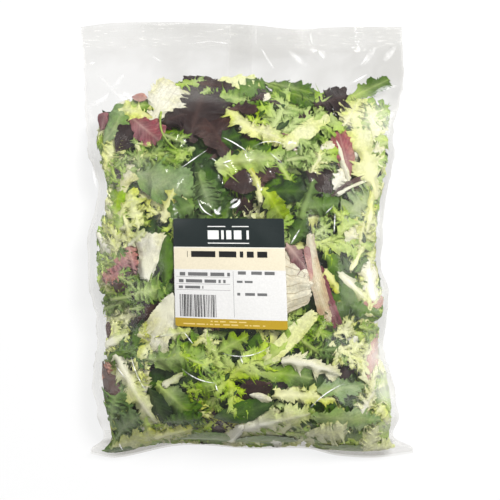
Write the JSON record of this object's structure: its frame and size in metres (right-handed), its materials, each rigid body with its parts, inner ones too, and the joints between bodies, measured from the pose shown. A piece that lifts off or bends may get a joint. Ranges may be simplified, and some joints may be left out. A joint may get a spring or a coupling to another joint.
{
  "type": "bag of salad leaves",
  "caption": "Clear sealed pillow bag of mixed salad leaves with a square front sticker, lying on its back.",
  "frame": {"origin": "under the middle of the bag, on the table that it lies on", "axes": "+X across the bag, +Y from the folded bottom seal to the top seal, +Z out of the front, up from the table"},
  "size_m": [0.298, 0.3926, 0.0778],
  "materials": {
    "salad_in_film": "leaf green seen through clear glossy film",
    "sticker": "semi-gloss printed paper in plain bands of colour",
    "clear_film": "thin clear plastic film, slightly hazy, creased",
    "pale_leaf": "pale yellow-green leaf, waxy",
    "green_leaf": "mid to dark green leaf, waxy",
    "red_leaf": "dark red-brown to wine-red leaf, waxy",
    "white_rib": "thick cream-white leaf rib, moist"
  },
  "bodies": {
    "root": {"bag": "salad_in_film", "label": "sticker"}
  },
  "joints": []
}
